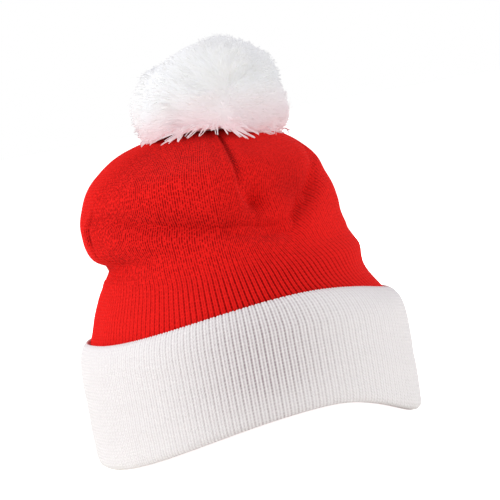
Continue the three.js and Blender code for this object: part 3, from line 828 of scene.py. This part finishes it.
def knit_material(name, face, groove_shade, lines, dash_shade):
    """Acrylic rib knit: matte, faintly fuzzy yarn in V stitches, drawn darker with painted shade down in
    the grooves between the ribs, in the gaps between the stitches, in the slanting ticks along a seam
    and in the crown's painted shade spots and creases."""
    material = new_material(name)
    turn = 2 * pi
    uv = add_node(material, "ShaderNodeUVMap")
    stitches = add_node(material, "ShaderNodeSeparateXYZ", (), {0: uv})
    ribs, courses = stitches.outputs[0], stitches.outputs[1]
    opened, slack_here, seam, painted_spot_shade = [
        add_node(material, "ShaderNodeAttribute", {"attribute_name": kept}).outputs["Fac"]
        for kept in ("open", "slack", "seam", "painted_shade")
    ]

    # The stitches stand out as relief
    inwards = add_node(material, "ShaderNodeMath", {"operation": "PINGPONG", 1: 0.5}, {0: ribs})
    chevron = add_node(material, "ShaderNodeMath", {"operation": "MULTIPLY_ADD", 1: STITCH_CLIMB},
                       {0: inwards, 2: courses})
    chevron_turn = add_node(material, "ShaderNodeMath", {"operation": "MULTIPLY", 1: turn}, {0: chevron})
    stitch = add_node(material, "ShaderNodeMath", {"operation": "COSINE"}, {0: chevron_turn})
    rib_turn = add_node(material, "ShaderNodeMath", {"operation": "MULTIPLY", 1: turn}, {0: ribs})
    leg_wave = add_node(material, "ShaderNodeMath", {"operation": "SINE"}, {0: rib_turn})
    leg = add_node(material, "ShaderNodeMath", {"operation": "ABSOLUTE"}, {0: leg_wave})
    plump = add_node(material, "ShaderNodeMath",
                     {"operation": "MULTIPLY_ADD", 1: PLUMP["swing"], 2: PLUMP["mean"]}, {0: stitch})
    yarn = add_node(material, "ShaderNodeMath", {"operation": "MULTIPLY"}, {0: leg, 1: plump})
    stretched = add_node(material, "ShaderNodeVectorMath",
                         {"operation": "MULTIPLY", 1: (UNEVEN["across"], UNEVEN["along"], 1)}, {0: uv})
    uneven = add_node(material, "ShaderNodeTexNoise",
                      {"Scale": 1.0, "Detail": UNEVEN["detail"], "Roughness": UNEVEN["roughness"]},
                      {"Vector": stretched})
    place = add_node(material, "ShaderNodeTexCoord")
    fuzz = add_node(material, "ShaderNodeTexNoise",
                    {"Scale": 1 / FUZZ["size"], "Detail": FUZZ["detail"], "Roughness": FUZZ["roughness"]},
                    {"Vector": place.outputs["Object"]})
    rough = add_node(material, "ShaderNodeMath", {"operation": "MULTIPLY_ADD", 1: ROUGHENED["fuzz"]},
                     {0: fuzz, 2: yarn})
    relief = add_node(material, "ShaderNodeMath", {"operation": "MULTIPLY_ADD", 1: ROUGHENED["uneven"]},
                      {0: uneven, 2: rough})
    bump = add_node(material, "ShaderNodeBump",
                    {"Strength": BUMP["strength"], "Distance": BUMP["distance"]}, {"Height": relief})

    # Painted shade in the grooves between the ribs and down their middles, broken by bars of yarn across
    valley = add_node(material, "ShaderNodeMapRange",
                      {1: GROOVE_FLOOR, 2: lines["width"], 3: 1.0, 4: 0.0}, {0: inwards})
    middle = add_node(material, "ShaderNodeMapRange",
                      {1: 0.5 - lines["width"], 2: 0.5, 3: 0.0, 4: lines["middle"]}, {0: inwards})
    both = add_node(material, "ShaderNodeMath", {"operation": "ADD"}, {0: valley, 1: middle})
    visible = add_node(material, "ShaderNodeMath",
                       {"operation": "MULTIPLY_ADD", 1: 1 - lines["closed"], 2: lines["closed"]},
                       {0: opened})
    open_lines = add_node(material, "ShaderNodeMath", {"operation": "MULTIPLY"}, {0: both, 1: visible})
    course_turn = add_node(material, "ShaderNodeMath", {"operation": "MULTIPLY", 1: turn}, {0: courses})
    bars = add_node(material, "ShaderNodeMath", {"operation": "COSINE"}, {0: course_turn})
    dots = add_node(material, "ShaderNodeMath",
                    {"operation": "MULTIPLY_ADD", 1: BARS["swing"], 2: BARS["mean"]}, {0: bars})
    specks = add_node(material, "ShaderNodeMath", {"operation": "ADD"}, {0: dots, 1: uneven})
    dotted = add_node(material, "ShaderNodeMath", {"operation": "MULTIPLY"}, {0: open_lines, 1: specks})

    # Painted shade in the broken dashes between the legs, where the knit is slack
    legs = add_node(material, "ShaderNodeMath", {"operation": "MULTIPLY", 1: RIB_LEGS}, {0: ribs})
    wale = add_node(material, "ShaderNodeMath", {"operation": "ROUND"}, {0: legs})
    wale_place = add_node(material, "ShaderNodeCombineXYZ", (), {0: wale, 1: courses})
    wale_run = add_node(material, "ShaderNodeVectorMath",
                        {"operation": "MULTIPLY", 1: (DASH["across"], DASH["along"], 1)}, {0: wale_place})
    broken = add_node(material, "ShaderNodeTexNoise", {"Scale": 1.0, "Detail": 1}, {"Vector": wale_run})
    dash = add_node(material, "ShaderNodeMapRange", {1: DASH["from"], 2: DASH["to"], 3: 0.0, 4: dash_shade},
                    {0: broken})
    beside = add_node(material, "ShaderNodeMath", {"operation": "PINGPONG", 1: 0.5}, {0: legs})
    wale_edge = add_node(material, "ShaderNodeMapRange",
                         {1: DASH["core"], 2: DASH["edge"], 3: 1.0, 4: 0.0}, {0: beside})
    wale_dash = add_node(material, "ShaderNodeMath", {"operation": "MULTIPLY"}, {0: dash, 1: wale_edge})
    slack_dash = add_node(material, "ShaderNodeMath", {"operation": "MULTIPLY"},
                          {0: wale_dash, 1: slack_here})

    # Painted shade in the slanting ticks along a seam
    climb = add_node(material, "ShaderNodeMath", {"operation": "MULTIPLY_ADD", 1: TICK["climb"]},
                     {0: courses, 2: ribs})
    climb_turn = add_node(material, "ShaderNodeMath", {"operation": "MULTIPLY", 1: turn}, {0: climb})
    slants = add_node(material, "ShaderNodeMath", {"operation": "COSINE"}, {0: climb_turn})
    sewing = add_node(material, "ShaderNodeMath",
                      {"operation": "MULTIPLY_ADD", 1: TICK["swing"], 2: TICK["mean"]}, {0: slants})
    ticks = add_node(material, "ShaderNodeMath", {"operation": "MULTIPLY"}, {0: sewing, 1: seam})

    # Painted shade: the grooves, dashes, shade spots and seam ticks all darken the face towards the
    # groove shade colour
    dashed = add_node(material, "ShaderNodeMath", {"operation": "ADD"}, {0: dotted, 1: slack_dash})
    shaded = add_node(material, "ShaderNodeMath", {"operation": "ADD"}, {0: dashed, 1: painted_spot_shade})
    dark = add_node(material, "ShaderNodeMath", {"operation": "ADD", "use_clamp": True},
                    {0: shaded, 1: ticks})
    colour = add_node(material, "ShaderNodeMix",
                      {"data_type": "RGBA", 6: linear(face), 7: linear(groove_shade)}, {0: dark})
    shader = add_node(material, "ShaderNodeBsdfPrincipled",
                      {"Roughness": 0.85, "Specular IOR Level": 0.04, "Sheen Weight": 0.03, "IOR": 1.46},
                      {"Base Color": colour.outputs[2], "Normal": bump})
    add_node(material, "ShaderNodeOutputMaterial", (), {"Surface": shader})
    return material


def yarn_material(name, root, tip, red_glow_colour):
    """Cut acrylic yarn: soft and matte, with painted shade that makes it a little darker and creamier
    down at the roots, white at the brushed-out tips, and a painted red glow along the base, standing in
    for the crown's red light through the thin fibres."""
    material = new_material(name)
    along = add_node(material, "ShaderNodeAttribute", {"attribute_name": "tip"}).outputs["Fac"]
    red_glow_share = add_node(material, "ShaderNodeAttribute", {"attribute_name": "painted_red_glow"}).outputs["Fac"]
    white = add_node(material, "ShaderNodeMix", {"data_type": "RGBA", 6: linear(root), 7: linear(tip)},
                     {0: along})
    colour = add_node(material, "ShaderNodeMix", {"data_type": "RGBA", 7: linear(red_glow_colour)},
                      {0: red_glow_share, 6: white.outputs[2]})
    shader = add_node(material, "ShaderNodeBsdfPrincipled",
                      {"Roughness": 0.8, "Specular IOR Level": 0.1, "IOR": 1.46,
                       "Sheen Weight": 0.25, "Sheen Roughness": 0.6},
                      {"Base Color": colour.outputs[2]})
    add_node(material, "ShaderNodeOutputMaterial", (), {"Surface": shader})
    return material


# Studio

def make_floor():
    """A white light table that glows most round the beanie, and has no edge against the backdrop."""
    bpy.ops.object.select_all(action="DESELECT")
    bpy.ops.mesh.primitive_plane_add(size=TABLE["size"])
    floor = bpy.context.object
    floor.name = "floor"
    material = new_material("white_light_table")
    place = add_node(material, "ShaderNodeTexCoord")
    away = add_node(material, "ShaderNodeVectorMath", {"operation": "LENGTH"},
                    {0: place.outputs["Object"]})
    glow = add_node(material, "ShaderNodeMapRange",
                    {1: TABLE["near"], 2: TABLE["far"], 3: TABLE["near_glow"], 4: TABLE["far_glow"]},
                    {0: away.outputs["Value"]})
    path = add_node(material, "ShaderNodeLightPath")
    seen = add_node(material, "ShaderNodeMath", {"operation": "MAXIMUM"},
                    {0: glow, 1: path.outputs["Is Camera Ray"]})
    shader = add_node(material, "ShaderNodeBsdfPrincipled",
                      {"Base Color": linear(TABLE["colour"]), "Roughness": 0.9, "Emission Color": WHITE},
                      {"Emission Strength": seen})
    add_node(material, "ShaderNodeOutputMaterial", (), {"Surface": shader})
    floor.data.materials.append(material)


def add_light(name, place, size, watts):
    light = bpy.data.lights.new(name, "AREA")
    light.shape = "DISK"
    light.size = size
    light.energy = watts
    lamp = bpy.data.objects.new(name, light)
    bpy.context.collection.objects.link(lamp)
    lamp.location = place
    lamp.rotation_euler = (VIEW_CENTRE - Vector(place)).to_track_quat("-Z", "Y").to_euler()


def make_backdrop():
    """A soft even fill from all round, with the backdrop itself plain white."""
    world = bpy.data.worlds.new("studio")
    bpy.context.scene.world = world
    world.use_nodes = True
    world.node_tree.nodes.clear()
    fill = add_node(world, "ShaderNodeBackground",
                    {"Color": linear(FILL["colour"]), "Strength": FILL["strength"]})
    white = add_node(world, "ShaderNodeBackground", {"Color": WHITE, "Strength": 1.0})
    path = add_node(world, "ShaderNodeLightPath")
    seen = add_node(world, "ShaderNodeMixShader", (),
                    {0: path.outputs["Is Camera Ray"], 1: fill, 2: white})
    add_node(world, "ShaderNodeOutputWorld", (), {"Surface": seen})


def make_studio():
    make_floor()
    make_backdrop()
    for softbox in SOFTBOXES:
        add_light(**softbox)
    bpy.context.scene.view_settings.view_transform = "Standard"
    bpy.context.scene.cycles.diffuse_bounces = LIGHT_BOUNCES


def make_camera():
    data = bpy.data.cameras.new("camera")
    data.sensor_width = SENSOR_MM
    data.lens = SENSOR_MM * VIEW_DISTANCE / (PHOTO_PIXELS / PIXELS_PER_MM * MM)
    camera = bpy.data.objects.new("camera", data)
    bpy.context.collection.objects.link(camera)
    back = Vector((0, -cos(VIEW_ELEVATION), sin(VIEW_ELEVATION)))
    camera.location = VIEW_CENTRE + back * VIEW_DISTANCE
    aim = (-back).to_track_quat("-Z", "Y").to_matrix()
    camera.rotation_euler = (aim @ Matrix.Rotation(VIEW_ROLL, 3, "Z")).to_euler()
    bpy.context.scene.camera = camera


def finish_piece(piece, material, node):
    piece.data.materials.append(material)
    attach(piece, "root")
    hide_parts(node)


make_camera()
make_studio()

# The red shows bright on the stitches, and painted shade draws it deep in the grooves and the white only
# a little grey there
red_knit = knit_material("red_acrylic_rib_knit", face="#f4211d", groove_shade="#7c0002",
                         lines={"width": 0.28, "middle": 0.3, "closed": 0.1}, dash_shade=1.0)
white_knit = knit_material("white_acrylic_rib_knit", face="#f4f2f2", groove_shade="#aa9a9f",
                           lines={"width": 0.24, "middle": 0.75, "closed": 0.1}, dash_shade=0.12)
# The root colour is painted shade between the yarn ends, and the red glow colour a painted glow of the
# crown's red
white_yarn = yarn_material("white_cut_acrylic_yarn", root="#e6e6e3", tip="#ebecee", red_glow_colour="#ecdadd")

crown = make_crown()
finish_piece(crown, red_knit, "crown")
cuff = make_cuff()
finish_piece(cuff, white_knit, "cuff")
for yarn in (make_heart(), make_strays(), *[make_lobe(lobe) for lobe in LOBES]):
    finish_piece(yarn, white_yarn, "pompom")
